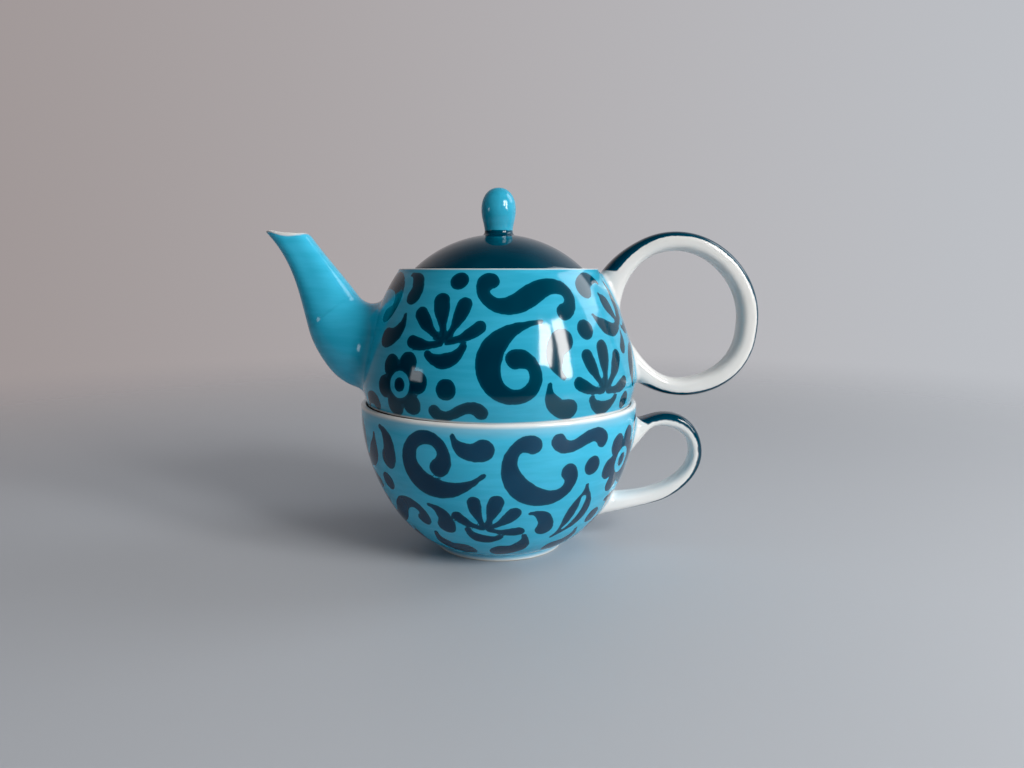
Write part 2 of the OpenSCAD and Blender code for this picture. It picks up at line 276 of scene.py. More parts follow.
def tube(name, grid, heights, tips, marks):
    """A mesh over closed rings of points. Two tips close its ends, or without them its last ring joins
    the first. Heights are the places in the UV map of the first tip, of the rings, and of the last tip
    or the join."""
    n, m = grid.shape[:2]
    points = grid.reshape(-1, 3)
    i, j = np.meshgrid(np.arange(n - 1 if tips else n), np.arange(m), indexing="ij")
    i, j = i.ravel(), j.ravel()
    k, below = (j + 1) % m, (i + 1) % n
    u, v = UV_EDGE + (1 - 2 * UV_EDGE) * np.arange(m + 1) / m, heights
    faces = [np.stack([i * m + j, i * m + k, below * m + k, below * m + j], 1)]
    uvs = [in_uv((u[j], v[i + 1]), (u[j + 1], v[i + 1]), (u[j + 1], v[i + 2]), (u[j], v[i + 2]))]
    if tips:
        points = np.vstack([points, *tips])
        j = np.arange(m)
        k = (j + 1) % m
        end = (n - 1) * m
        middle = (u[j] + u[j + 1]) / 2
        first = np.stack([k, j, 0 * j + n * m], 1)
        last = np.stack([end + j, end + k, 0 * j + n * m + 1], 1)
        faces.append(np.vstack([first, last]))
        uvs.append(np.vstack([in_uv((u[j + 1], v[1]), (u[j], v[1]), (middle, v[0])),
                              in_uv((u[j], v[-2]), (u[j + 1], v[-2]), (middle, v[-1]))]))
    return make_piece(name, points, faces, uvs, marks)


def turned(name, rows, ink=None, **marks):
    """A solid of revolution. The first and last rows lie on the axis. Each mark has one value a row,
    and ink may be a function of the points instead."""
    a = np.arange(AROUND) * 2 * math.pi / AROUND
    ring = rows[1:-1]
    z = np.repeat(ring[:, 1:], AROUND, axis=1)
    grid = np.stack([ring[:, :1] * np.cos(a), ring[:, :1] * np.sin(a), z], 2)
    tips = [0, 0, rows[0, 1]], [0, 0, rows[-1, 1]]
    full = {}
    for mark, values in {**marks, "ink": ink}.items():
        if callable(values):
            full[mark] = values(np.vstack([grid.reshape(-1, 3), *tips]))
        else:
            full[mark] = np.concatenate([np.repeat(values[1:-1], AROUND), [values[0], values[-1]]])
    s = along(rows)
    return tube(name, grid, UV_EDGE + (1 - 2 * UV_EDGE) * s / s[-1], tips, full)


def skinned(name, grid, joined=False, **marks):
    """A skin over closed rings of points. It is closed at each end, or its last ring joins the first."""
    s = np.concatenate([[0], np.cumsum(np.linalg.norm(np.diff(grid, axis=0), axis=2).mean(1) + 1e-3)])
    s = np.append(s, s[-1] + 1)
    heights = np.concatenate([[0], UV_EDGE + (1 - 2 * UV_EDGE) * s / s[-1]])
    if joined:
        return tube(name, grid, heights, None, {mark: values.ravel() for mark, values in marks.items()})
    full = {mark: np.concatenate([values.ravel(), [values[0].mean(), values[-1].mean()]])
            for mark, values in marks.items()}
    return tube(name, grid, heights, (grid[0].mean(0), grid[-1].mean(0)), full)


def pierce(piece, drills):
    """Drills straight holes, each from one point to another with a diameter, through a piece."""
    n = DRILL_SIDES
    points, faces = [], []
    for start, end, diameter in drills:
        axis = Vector(end) - Vector(start)
        turn = axis.to_track_quat("Z", "Y")
        first = len(points)
        for height in (0, axis.length):
            for k in range(n):
                a = 2 * math.pi * k / n
                p = Vector((diameter / 2 * math.cos(a), diameter / 2 * math.sin(a), height))
                points.append((Vector(start) + turn @ p) / 1000)
        near, far = range(first, first + n), range(first + n, first + 2 * n)
        faces += [(near[k], near[(k + 1) % n], far[(k + 1) % n], far[k]) for k in range(n)]
        faces += [tuple(reversed(near)), tuple(far)]
    mesh = bpy.data.meshes.new("drills")
    mesh.from_pydata(points, [], faces)
    drill = link(bpy.data.objects.new("drills", mesh))
    cut = piece.modifiers.new("holes", "BOOLEAN")
    cut.object = drill
    cut.solver = "EXACT"
    result = bpy.data.meshes.new_from_object(piece.evaluated_get(bpy.context.evaluated_depsgraph_get()))
    piece.modifiers.clear()
    piece.data = result
    piece.data.name = piece.name
    result.set_sharp_from_angle(angle=math.radians(40))
    bpy.data.objects.remove(drill)


# Joints between a handle or spout and a turned body

LEAST_REACH = 0.6
SKIRT_SINK = 0.03
TUCK = 0.35
TUCK_SINK = 0.14
END_SINK = 0.8


class Surface:
    """The outside of a turned body, as a radius for every height."""

    def __init__(self, rows):
        self.r, self.z = rows.T

    def radius(self, z):
        return np.interp(z, self.z, self.r)

    def gap(self, p):
        return np.hypot(p[..., 0], p[..., 1]) - self.radius(p[..., 2])

    def normal(self, p):
        slope = (self.radius(p[:, 2] + 0.2) - self.radius(p[:, 2] - 0.2)) / 0.4
        n = np.stack([p[:, 0], p[:, 1], -slope * np.hypot(p[:, 0], p[:, 1])], 1)
        return n / np.linalg.norm(n, axis=1, keepdims=True)

    def on(self, p, sink):
        """The points moved level to a depth under the surface."""
        scale = (self.radius(p[:, 2]) - sink) / np.hypot(p[:, 0], p[:, 1])
        return np.stack([p[:, 0] * scale, p[:, 1] * scale, p[:, 2]], 1)


def flattened(x, power):
    """A sine or cosine bent so that a section's faces are flatter than an ellipse's, whose power is 2."""
    return np.sign(x) * np.abs(x)**(2 / np.asarray(power, float))


def tube_section(a, b, width, q, power):
    """Rounded sections between front view points a and b, q radians round from a."""
    c, h = (a + b) / 2, (a - b) / 2
    power = np.broadcast_to(power, len(a))[:, None]
    across = flattened(np.cos(q)[None], power)
    x = c[:, :1] + h[:, :1] * across
    z = c[:, 1:] + h[:, 1:] * across
    y = np.asarray(width).reshape(-1, 1) / 2 * flattened(np.sin(q)[None], power) + 0 * x
    return np.stack([x, y, z], 2)


def lengths(lines):
    """Distance along each line of a grid."""
    steps = np.linalg.norm(np.diff(lines, axis=0), axis=2)
    return np.vstack([np.zeros(lines.shape[1]), np.cumsum(steps, axis=0)])


def points_at(lines, s, want):
    """Points at the wanted distances along each line of a grid."""
    out = np.empty(want.shape + (3,))
    for j in range(lines.shape[1]):
        for c in range(3):
            out[:, j, c] = np.interp(want[:, j], s[:, j], lines[:, j, c])
    return out


def run_into(lines, body, reach, low, high, rows, first=0.0):
    """Ends a grid of lines, which start clear of a body, in its surface with a soft fillet.
    Gives the rings and how far each of their points is from the body's surface along the line."""
    s = lengths(lines)
    gap = body.gap(lines)
    j = np.arange(lines.shape[1])
    k = np.argmax(gap < 0, axis=0)
    f = gap[k - 1, j] / (gap[k - 1, j] - gap[k, j])
    meet = s[k - 1, j] + f * (s[k, j] - s[k - 1, j])
    foot = points_at(lines, s, meet[None])[0]
    out = np.cross(np.roll(foot, -1, 0) - np.roll(foot, 1, 0), body.normal(foot))
    out /= np.linalg.norm(out, axis=1, keepdims=True)
    if (out * (foot - foot.mean(0))).sum() < 0:
        out = -out
    room_above = (high - foot[:, 2]) / np.maximum(out[:, 2], 1e-3)
    room_below = (foot[:, 2] - low) / np.maximum(-out[:, 2], 1e-3)
    room = np.where(out[:, 2] > 0, room_above, room_below)
    reach = np.minimum(reach, np.maximum(LEAST_REACH, room))
    want = first + np.linspace(0, 1, rows)[:, None] * (meet - reach - first)
    rings = list(points_at(lines, s, want))
    back = list(meet - want)
    start, end = rings[-1], body.on(foot + out * reach[:, None], SKIRT_SINK)
    for t in np.linspace(0, 1, 10)[1:]:
        rings.append(bend(start, foot, end, t))
        back.append((1 - t) * reach - t * reach)
    rings.append(body.on(foot + out * (reach + TUCK)[:, None], TUCK_SINK))
    back.append(-reach - TUCK)
    rings.append(body.on(foot, END_SINK))
    back.append(-reach)
    return np.array(rings), np.array(back)


# Painted ornament: brush strokes as rows of discs (x, y, radius)

def width_through(*pairs):
    """A brush width that runs smoothly through (place, radius) pairs."""
    at, r = np.array(pairs, float).T

    def width(s):
        i = np.clip(np.searchsorted(at, s) - 1, 0, len(at) - 2)
        return r[i] + (r[i + 1] - r[i]) * fade(s, at[i], at[i + 1])
    return width


def stroke(length, bend_at, width, start=0.0, n=90):
    """A brush stroke that turns by bend_at(s) radians for each whole length, or by one number all along."""
    s = np.linspace(0, 1, n)
    middles = (s[1:] + s[:-1]) / 2
    bends = bend_at(middles) if callable(bend_at) else bend_at + 0 * middles
    heading = np.radians(start) + np.concatenate([[0], np.cumsum(bends / (n - 1))])
    middle = (heading[1:] + heading[:-1]) / 2
    x = np.concatenate([[0], np.cumsum(np.cos(middle))]) * length / (n - 1)
    y = np.concatenate([[0], np.cumsum(np.sin(middle))]) * length / (n - 1)
    return np.stack([x, y, width(s)], 1)


def centred(*strokes):
    """Strokes to paint (+) or to leave out (-), moved so that the middle of their box is at 0, 0."""
    q = np.vstack([s for _, s in strokes])
    middle = np.append((q[:, :2].min(0) + q[:, :2].max(0)) / 2, 0)
    return [(sign, s - middle) for sign, s in strokes]


def disc(x, y, r):
    return np.array([[x, y, r]], float)


def curl():
    """A curl that opens from a round heart into a broad back and a pointed tail."""
    width = width_through((0, 3.4), (0.12, 2.2), (0.3, 2.5), (0.62, 4.3), (1, 0.8))
    return centred(("+", stroke(62, lambda s: 10.2 * (1 - s)**1.1 + 1.5, width)))


def s_scroll():
    """An S whose two ends curl in to round buds."""
    width = width_through((0, 3.4), (0.12, 2.5), (0.5, 4.3), (0.88, 2.5), (1, 3.4))
    return centred(("+", stroke(54, lambda s: 13.2 * np.sign(0.5 - s) * np.abs(1 - 2 * s)**0.9, width)))


def c_scroll():
    """A C whose two ends curl in."""
    width = width_through((0, 3.5), (0.13, 2.5), (0.5, 4.5), (0.87, 2.5), (1, 3.5))
    return centred(("+", stroke(54, lambda s: 3 + 9.4 * np.abs(1 - 2 * s)**2.2, width)))


def palmette():
    """Five leaves that fan out of one foot, over a crescent."""
    leaves = []
    for lean, length, fat, bow in ((0, 15, 3.4, 0), (45, 14.5, 3, 0.4), (-45, 14.5, 3, -0.4),
                                   (94, 13, 2.6, 0.6), (-94, 13, 2.6, -0.6)):
        a = math.radians(90 - lean)
        blade = stroke(length, bow, width_through((0, 1.4), (0.25, 1.4), (0.85, fat), (1, fat)), 90 - lean)
        leaves.append(("+", blade + [1.5 * math.cos(a), 1.5 * math.sin(a), 0]))
    crescent = stroke(17, 2, width_through((0, 1.6), (0.5, 3), (1, 1.6)), -57)
    crescent -= np.append(crescent[45, :2] - [0, -7.2], 0)
    return centred(*leaves, ("+", crescent))


def tulip():
    """Three leaves on one foot, with two drops below."""
    shape = [("+", stroke(15, 0, width_through((0, 1.6), (0.6, 3.9), (1, 0.9)), 90) + [0, 1.5, 0])]
    petal = stroke(23, lambda s: 2.3 - 1.1 * s, width_through((0, 2), (0.6, 3.7), (1, 0.9)), -12)
    drop = stroke(8.5, 0.9, width_through((0, 0.9), (0.8, 2.7), (1, 2.6)), -60) + [2, -4.2, 0]
    for side in (1, -1):
        shape += [("+", petal * [side, 1, 1]), ("+", drop * [side, 1, 1])]
    return centred(*shape)


def rosette():
    """Six petals about an open ring and a dot."""
    a = np.arange(6) * math.pi / 3
    petals = np.stack([8.4 * np.cos(a), 8.4 * np.sin(a), 0 * a + 4.2], 1)
    return [("+", petals), ("+", disc(0, 0, 7.8)), ("-", disc(0, 0, 4.9)), ("+", disc(0, 0, 2.6))]


def leaf():
    """A long bowed leaf with a light rib."""
    blade = stroke(26, 1, width_through((0, 0.9), (0.45, 5.6), (1, 0.8)), -28)
    rib = stroke(15, 0.7, width_through((0, 1.2), (1, 0.7)), -20)
    return centred(("+", blade), ("-", rib - np.append(rib[45, :2] - blade[45, :2], 0)))


def wave():
    """A short S for the narrow places."""
    width = width_through((0, 3.2), (0.3, 2.4), (0.7, 2.7), (1, 3.4))
    return centred(("+", stroke(24, lambda s: 6 - 12 * s, width, -20)))


def hook():
    """A short bent leaf."""
    width = width_through((0, 3.6), (0.3, 2.7), (0.7, 3.8), (1, 1.2))
    return centred(("+", stroke(27, lambda s: 4.6 - 2.2 * s, width)))


def comma():
    """A bud with a bent tail."""
    return centred(("+", stroke(12, 1.9, width_through((0, 3.4), (0.4, 2.7), (1, 0.8)))))


def dot():
    return [("+", disc(0, 0, 2.7))]


# Motif, angle from the front in degrees, height in mm, turn in degrees, size, mirrored
POT_ORNAMENT = [
    (c_scroll, -68.2, 103.7, 9, 0.87, 0), (palmette, -21.8, 93.5, 13, 0.95, 0),
    (s_scroll, 14.5, 105.4, 15, 0.96, 0), (tulip, 63.1, 97.3, 31, 0.85, 0),
    (rosette, -39.2, 73.5, 9, 1.02, 0),
    (curl, 8.2, 83.2, 169, 1.06, 1), (palmette, 45.3, 75.3, -4, 0.94, 0), (hook, 76.8, 77.1, 91, 1.03, 0),
    (comma, -45.8, 109.2, 72, 1.07, 0), (dot, -18.2, 110.7, 0, 1.32, 0), (comma, 53.2, 108.8, 114, 1.16, 1),
    (comma, -47.4, 94, -4, 1.15, 0), (comma, 25.7, 83.4, 211, 1.3, 0), (wave, -14.6, 65.1, -37, 0.79, 0),
    (dot, -18.6, 73.1, -2, 1.43, 0), (comma, 23.2, 70, -3, 1.16, 1), (comma, -61.2, 63.8, 143, 0.97, 0),
    (dot, 60.2, 65.3, 1, 1.3, 0), (dot, 38.7, 93.2, -2, 1.43, 0),
]
CUP_ORNAMENT = [
    (tulip, -72.1, 44.5, -5, 0.99, 0), (curl, -21.9, 45.7, 36, 1.07, 0), (c_scroll, 16.4, 42.3, 152, 0.96, 0),
    (rosette, 60.8, 41.8, 11, 1.1, 0), (s_scroll, -51.8, 22.6, 32, 0.82, 0),
    (palmette, -3.7, 23.2, -18, 0.86, 0),
    (leaf, 36.4, 23.7, -73, 1.03, 1), (hook, 64.7, 18.9, -11, 0.97, 0), (comma, -49.4, 50.7, 52, 1.23, 0),
    (comma, -10.5, 54.4, -31, 1.18, 1), (wave, 33.1, 53.6, -42, 0.93, 0), (dot, 75.1, 54.2, -1, 1.3, 0),
    (dot, 39.5, 43.2, 0, 1.43, 0), (comma, 18.2, 22.9, 74, 1.06, 0), (dot, -52.7, 34.5, -1, 1.43, 0),
    (comma, -27.5, 24.2, 61, 1.09, 0), (comma, -27.6, 11.6, -7, 1.3, 1), (comma, 8.4, 12, 0, 1.3, 0),
    (dot, 53.2, 19.6, -1, 1.43, 0), (comma, 40.8, 11.2, 0, 1.17, 0), (comma, -59, 10.7, -13, 1.17, 0),
    (comma, -84.2, 21.9, 54, 1.3, 0),
]
MOTIF_REACH = 24.0


def placed(shape, degrees, size, mirrored):
    """A motif turned, scaled and mirrored."""
    c, s = math.cos(math.radians(degrees)), math.sin(math.radians(degrees))
    flip = -1 if mirrored else 1
    moved = []
    for sign, q in shape:
        x, y, r = q.T
        moved.append((sign, size * np.stack([flip * (x * c - y * s), x * s + y * c, r], 1)))
    return moved


def distance_to(shape, u, v):
    """Signed distance in mm to a motif, negative where it is painted."""
    d = np.full(u.shape, FAR)
    for sign, q in shape:
        e = np.full(u.shape, FAR)
        for x, y, r in q:
            e = np.minimum(e, np.hypot(u - x, v - y) - r)
        d = np.minimum(d, e) if sign == "+" else np.maximum(d, -e)
    return d


def ornament(rows, motifs):
    """A function that gives points' signed distance in mm to the motifs painted round a turned body,
    and to their copies at the back."""
    surface = Surface(rows)
    s = along(rows)

    def ink(points):
        x, y, z = points.T
        r = np.hypot(x, y)
        angle = np.degrees(np.arctan2(x, -y))
        outside = np.abs(surface.gap(points)) < 0.5
        height = np.interp(z, rows[:, 1], s)
        d = np.full(len(points), FAR)
        for motif, at, level, degrees, size, mirrored in motifs:
            v = height - np.interp(level, rows[:, 1], s)
            for back in (0, 1):
                centre = 180 - at if back else at
                u = np.radians((angle - centre + 180) % 360 - 180) * r
                near = outside & (np.abs(u) < MOTIF_REACH) & (np.abs(v) < MOTIF_REACH)
                if near.any():
                    shape = placed(motif(), degrees, size, mirrored != back)
                    d[near] = np.minimum(d[near], distance_to(shape, u[near], v[near]))
        return d
    return ink


# The cup

FOOT_GLAZE_UP = 0.45
FOOT_CLAY_Z = 0.35

slope = math.radians(BOWL_FLARE_DEG)
bowl_start = np.array([FOOT_R + CREASE_OUT, FOOT_H])
bowl_end = CUP_H - 3 * LIP_ROUND
bowl = [bowl_start, bowl_start + BOWL_FLARE * np.array([math.cos(slope), math.sin(slope)]),
        (CUP_R, bowl_end - BOWL_UPRIGHT), (CUP_R, bowl_end)]
bowl_rows = respaced(curve(bowl))
cup_inside = curve(bowl, CUP_WALL)[::-1]
cup_rows = outline(
    (0, FOOT_HOLLOW, 0), (FOOT_R - FOOT_W, FOOT_HOLLOW, 0.8), (FOOT_R - FOOT_W, 0, FOOT_BEVEL),
    (FOOT_R, 0, FOOT_BEVEL), (FOOT_R, FOOT_H - 0.4, 0.3), bowl_rows,
    arc((CUP_R - LIP_ROUND, SEAT_Z), LIP_ROUND, 0, 180, 13),
    (CUP_IN_R, SEAT_Z, 0.5), respaced(cup_inside, CUP_INSIDE_STEP), (0, cup_inside[-1, 1], 0),
)
painted_rows = np.vstack([bowl_rows, [(CUP_R, SEAT_Z), (CUP_R - 0.4, CUP_H - 0.2)]])
cup_s = along(cup_rows)
foot_edge = reached(cup_rows, cup_s, FOOT_R, FOOT_BEVEL) + FOOT_GLAZE_UP
lip_edge = reached(cup_rows, cup_s, CUP_R, SEAT_Z)
on_foot = (cup_s < foot_edge) & (cup_rows[:, 0] > FOOT_R - FOOT_W - 0.1)
cup = turned(
    "cup_body", cup_rows, ornament(painted_rows, CUP_ORNAMENT),
    bare=np.minimum(cup_s - foot_edge, lip_edge - cup_s),
    clay=np.where(on_foot, cup_rows[:, 1] - FOOT_CLAY_Z, FAR),
)

# The teapot's body

# How far the white and the bare clay reach up from the seat, and the blue over the curve to the rim. The bare
# clay at the seat is darkened as a painted shadow of the gap over the cup's lip
SEAT_WHITE_UP = 1.9
SEAT_CLAY_AND_SHADE_UP = 1.2
RIM_BLUE_OVER = 0.8

body_low = [(SHOULDER_R, SEAT_Z), (SHOULDER_R + 0.8, SEAT_Z + BELLY_RISE * 0.32),
            (BELLY_R, SEAT_Z + BELLY_RISE * 0.6), (BELLY_R, BELLY_Z)]
slope = math.radians(SLOPE_TO_RIM_DEG)
body_top = [(BELLY_R, BELLY_Z), (BELLY_R, BELLY_Z + BELLY_UPRIGHT),
            (RIM_R + SLOPE_TO_RIM * math.cos(slope), RIM_Z - SLOPE_TO_RIM * math.sin(slope)),
            (RIM_R, RIM_Z)]
pot_in_r = BELLY_R - POT_WALL
floor_bend = [(pot_in_r - 8, FLOOR_Z), (pot_in_r - 3, FLOOR_Z),
              (pot_in_r, FLOOR_Z + 2.6), (pot_in_r, BELLY_Z)]
pot_rows_outside = respaced(np.vstack([curve(body_low), curve(body_top, end=0.97)[1:]]))
rim_start = pot_rows_outside[-1]
pot_inside = np.vstack([curve(floor_bend), curve(body_top, POT_WALL, end=0.86)[1:]])[::-1]
pot_rows = outline(
    (0, SEAT_Z, 0), (NEST_R - NEST_W, SEAT_Z, 0.5), (NEST_R - NEST_W, NEST_Z, 0.6), (NEST_R, NEST_Z, 0.6),
    (NEST_R, SEAT_Z, 0.3), pot_rows_outside,
    arc((rim_start[0] - 1.2 * RIM_ROUND, RIM_Z - RIM_ROUND), RIM_ROUND, 20, 90, 7),
    (LID_R + LID_GAP, RIM_Z, 0.4), (LID_R + LID_GAP, LEDGE_Z, 0.3), (OPENING_R, LEDGE_Z, 0.4),
    (OPENING_R, LEDGE_Z - LEDGE_THICK, 0.4), respaced(pot_inside, POT_INSIDE_STEP), (0, FLOOR_Z, 0),
)
pot_s = along(pot_rows)
pot_up = pot_s - reached(pot_rows, pot_s, SHOULDER_R, SEAT_Z)
rim_edge = reached(pot_rows, pot_s, *rim_start) + RIM_BLUE_OVER
pot = turned(
    "pot_body", pot_rows, ornament(pot_rows_outside, POT_ORNAMENT),
    bare=np.minimum(pot_up - SEAT_WHITE_UP, rim_edge - pot_s),
    clay=np.where(pot_s > pot_s[-1] / 2, FAR, pot_up - SEAT_CLAY_AND_SHADE_UP),
)

strainer = []
for row in range(STRAINER_ROWS):
    count = 2 + row % 2
    for k in range(count):
        y = (k - (count - 1) / 2) * STRAINER_PITCH
        z = SEAT_Z + STRAINER_UP + row * STRAINER_PITCH * 0.9
        strainer.append(((-BELLY_R - 4, y, z), (-BELLY_R + 14, y, z), STRAINER_D))
pierce(pot, strainer)

# The same two edges as they wander round the seat, at angles from the front in degrees. The dark band is bare
# clay and painted shadow, widest and darkest at the shaded left
WHITE_ROUND = ((-180, 1.6), (-60, 1.9), (-30, 1.75), (0, 1.35), (28, 1.6), (42, 1.9), (60, 1.4), (180, 1.6))
CLAY_AND_SHADE_ROUND = ((-180, 0.9), (-50, 1.35), (-5, 1.08), (25, 0.7), (180, 0.9))

# The oval about the spout's root that the ornament leaves free, and the part of the wall inside the root
OVAL_Y = 24.0
OVAL_Z = 24.5
OVAL_UP = 22.5
ROOT_X = -40.0
ROOT_Y = 9.0
ROOT_LOW = 68.0
ROOT_HIGH = 96.0

x, y, z = positions(pot.data).T
r = np.hypot(x, y)
angle = np.degrees(np.arctan2(x, -y))
free_oval = OVAL_Y * (1.06 - np.hypot(y / OVAL_Y, (z - SEAT_Z - OVAL_UP) / OVAL_Z))
free_oval[(x > 0) | (r < BELLY_R - 13)] = -FAR
by_seat = (z < SEAT_Z + 7) & (r > SHOULDER_R - 0.2)
behind_spout = (x < ROOT_X) & (np.abs(y) < ROOT_Y) & (z > ROOT_LOW) & (z < ROOT_HIGH)
ink = np.maximum(mark_of(pot.data, "ink"), free_oval)
bare = mark_of(pot.data, "bare") + np.where(by_seat, SEAT_WHITE_UP - through(angle, WHITE_ROUND), 0)
clay = mark_of(pot.data, "clay") + np.where(by_seat, SEAT_CLAY_AND_SHADE_UP - through(angle, CLAY_AND_SHADE_ROUND), 0)
for mark, values, inside in (("ink", ink, FAR), ("bare", bare, -FAR), ("clay", clay, FAR)):
    values[behind_spout] = inside
    set_mark(pot.data, mark, values)

# The spout

SPOUT_AROUND = 128
SPOUT_ROWS = 420
FILLET_MIN = 4.5
FILLET_SIDES = 3.7
BORE_ROUND = 0.9


def by_pot(*points):
    """Points of the front view from places measured from the belly's left side and from the seat."""
    return [(-BELLY_R + out, SEAT_Z + up) for out, up in points]


low_a = by_pot((6.2, 4.2), (-10.2, 5.8), (-19.8, 14.4), (-22.4, 30))
low_b = by_pot((-22.4, 30), (-25, 45.6), (-27.6, 58.6), (-38, 69.6))
top_a = by_pot((12.2, 40.5), (5.4, 40.9), (1.4, 39.6), (-2.1, 44.6))
top_b = by_pot((-2.1, 44.6), (-7.3, 51.8), (-15.6, 61), (-20.6, 68.6))


def spout_lines(u, wall, q):
    """Lines down the spout from its mouth at u 2 to its root at u 0, inside its outer skin by a wall."""
    lower = u < 1
    t = np.where(lower, u, u - 1)
    a = np.where(lower[:, None], bez(low_a, t), bez(low_b, t))
    b = np.where(lower[:, None], bez(top_a, t), bez(top_b, t))
    d = (b - a) / np.linalg.norm(b - a, axis=1, keepdims=True)
    # The underside is drawn in a little at the lower bend
    a = a + d * (1.5 * bump(u, 0.68, 0.3))[:, None]
    width = np.where(lower, 33 - 11 * fade(t, 0, 1.15), 12.6 + 9.4 * np.abs(1 - t)**1.7)
    inset = d * np.broadcast_to(wall, u.shape)[:, None]
    return tube_section(a + inset, b - inset, width - 2 * wall, q, 2.1 + 0.5 * fade(u, 0.9, 1.6))


pot_surface = Surface(pot_rows_outside)
q = np.linspace(0, 2 * math.pi, SPOUT_AROUND, endpoint=False)
turn = np.abs((q + math.pi) % (2 * math.pi) - math.pi)
# The lines start a little above the mouth, so that its rim can rise and fall
above = np.linspace(2.04, 2, 9)[:-1]
u = np.concatenate([above, np.linspace(2, 1 / 14, SPOUT_ROWS)])
outer = spout_lines(np.concatenate([above, np.linspace(2, 0, SPOUT_ROWS)]), 0.0, q)
bore = spout_lines(u, 3.2 - 1.4 * fade(u, 0.6, 1.9), q)
# The mouth's rim stands higher beside its tip, and its rear corner is rounder
rise = 0.35 * fade(turn, 0, 0.6) + 0.6 * bump(turn, 0.95, 0.42) + 0.35 * fade(turn, 2.1, 2.7)
corner = 0.9 + 1.7 * fade(turn, 1.9, math.pi)
outer_start = lengths(outer)[len(above)] - rise
bore_start = lengths(bore)[len(above)] - rise
rim_outer = points_at(outer, lengths(outer), outer_start[None])[0]
rim_bore = points_at(bore, lengths(bore), bore_start[None])[0]
share = (0.5 + 0.3 * fade(turn, 1.9, math.pi))[:, None]
lip_middle = rim_outer * (1 - share) + rim_bore * share
fillet = FILLET_MIN + FILLET_SIDES * np.sin(q)**2
skin, skin_back = run_into(outer, pot_surface, fillet, SEAT_Z + 0.6, RIM_Z - 2, 90, outer_start + corner)
hole, _ = run_into(bore, pot_surface, LEAST_REACH, SEAT_Z, RIM_Z, 60, bore_start + BORE_ROUND)
lip = [bend(hole[0], rim_bore, lip_middle, t) for t in np.linspace(0, 1, 7)[1:]]
lip += [bend(lip_middle, rim_outer, skin[0], t) for t in np.linspace(0, 1, 9)[1:-1]]

thin_at_rim = corner - 0.9 - 1.1 * bump(turn, 1.5, 0.4)
lip_bare = thin_at_rim - np.linspace(2 * corner, 0.1 * corner, len(lip))
from_mouth = skin_back[:1] - skin_back + thin_at_rim
bare = np.concatenate([np.full(hole.shape[:2], -FAR), lip_bare, from_mouth])
root = np.concatenate([np.full((len(hole) + len(lip), len(q)), FAR), skin_back])
none_near = np.full(bare.shape, FAR)
grid = np.concatenate([hole[::-1], np.array(lip), skin])
spout = skinned("pot_spout", grid, joined=True, bare=bare, ink=none_near, clay=none_near, root=root)

# The handles

HANDLE_AROUND = 72
RING_POWER = 2.7
EAR_POWER = 2.9
WHITE_SHORT = 0.3


def handle_marks(from_a, from_b, q, section, spans, tips):
    """The white of a handle and the dark stripe along its outside, as signed distances.
    Each span is a place along the handle, from 0 to 1, and the stripe's half width there in degrees.
    The tips say how far from each root the stripe ends, and over how long it narrows to the second."""
    thick, wide, power = section
    tip_a, tip_b, taper_b = tips
    half = np.radians(through(from_a / (from_a + from_b), spans))
    half = np.arccos(np.sign(np.cos(half)) * np.abs(np.cos(half))**(power / 2))
    c, s = np.abs(np.cos(half)), np.abs(np.sin(half))
    across = thick / 2 * s * np.maximum(c, 0.1)**(2 / power - 1)
    sideways = wide / 2 * c * s**(2 / power - 1)
    per_degree = math.radians(2 / power) * np.hypot(across, sideways)
    narrow_a = np.sqrt(fade(from_a, tip_a - 0.3, tip_a + 7))
    narrow_b = fade(from_b, tip_b - 4, tip_b + taper_b)
    turn = np.degrees(np.abs((q + math.pi) % (2 * math.pi) - math.pi))
    stripe = (turn[None] - np.degrees(half) * np.minimum(narrow_a, narrow_b)) * per_degree
    stripe = np.maximum(stripe, np.maximum(tip_a - from_a, tip_b - from_b))
    return -WHITE_SHORT - np.minimum(from_a, from_b), stripe


def handle(name, lines, body, reach, between, rows, q, section, spans, tips):
    """A handle between two roots on a body. Each set of lines runs from the handle's middle to a root."""
    half_a, back_a = run_into(lines[0], body, reach[0], *between, rows[0])
    half_b, back_b = run_into(lines[1], body, reach[1], *between, rows[1])
    grid = np.concatenate([half_a[::-1], half_b[1:]])
    whole_a, whole_b = back_a[0], back_b[0]
    from_a = np.concatenate([back_a[::-1], whole_a + (whole_b - back_b)[1:]])
    from_b = np.concatenate([whole_b + (whole_a - back_a)[::-1], back_b[1:]])
    bare, stripe = handle_marks(from_a, from_b, q, section, spans, tips)
    return skinned(name, grid, bare=bare, ink=stripe, clay=np.full(bare.shape, FAR))


# The ring handle

def ring_lines(a, q):
    """Lines along the ring handle at angles in degrees from +X."""
    d = np.stack([np.cos(np.radians(a)), np.sin(np.radians(a))], 1)
    r = RING_R - 2.2 * np.maximum(0, np.cos(np.radians(a - 45)))**2
    r = r + 0.45 * bump(a, 85, 38) + 1.45 * bump(a, -50, 30) * fade(-a, 5, 26) - 0.03 * bump(a, -5, 14)
    far = r + 2.6 * fade(a, 118, 168) - 1.4 * fade(-a, 76, 134)
    near = r - RING_THICK - 1.6 * fade(a, 112, 172) - 3.4 * fade(-a, 84, 146)
    near = near + 0.9 * bump(a, -95, 22) + 0.2 * bump(a, 85, 38)
    width = RING_WIDE + 4 * (fade(a, 118, 168) + fade(-a, 92, 146))
    return tube_section(RING_CENTRE + far[:, None] * d, RING_CENTRE + near[:, None] * d, width, q, RING_POWER)


